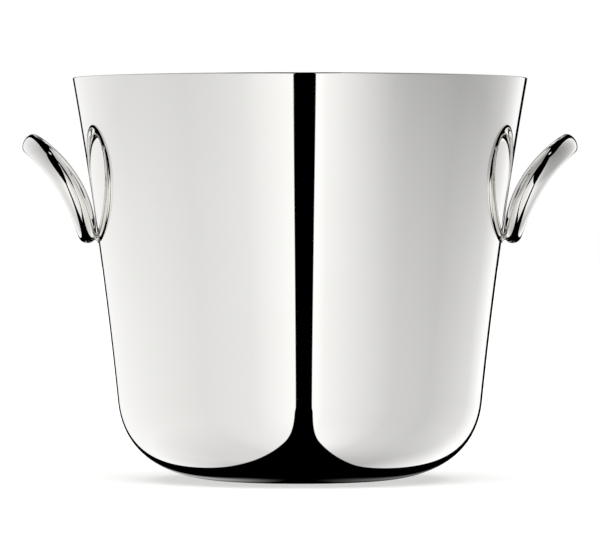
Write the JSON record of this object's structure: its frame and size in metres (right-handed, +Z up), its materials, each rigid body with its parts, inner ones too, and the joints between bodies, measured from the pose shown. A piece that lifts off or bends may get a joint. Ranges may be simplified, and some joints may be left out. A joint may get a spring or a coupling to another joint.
{
  "type": "champagne bucket",
  "caption": "Mirror-polished silver champagne bucket with a flared wall, a rounded bottom and a ring handle curling out on each side.",
  "frame": {"origin": "middle of the flat base that the bucket stands on", "axes": "+Z up along the bucket's axis, +X through the middle of the right handle"},
  "size_m": [0.281, 0.23, 0.2036],
  "materials": {
    "polished_silver_plate": "silver plate on brass, buffed to a mirror",
    "silver_solder": "silver solder, filed back and softly satin"
  },
  "bodies": {
    "root": {"bucket_shell": "polished_silver_plate", "right_ring_handle": "polished_silver_plate", "left_ring_handle": "polished_silver_plate", "right_solder_pad": "silver_solder", "left_solder_pad": "silver_solder"}
  },
  "joints": []
}
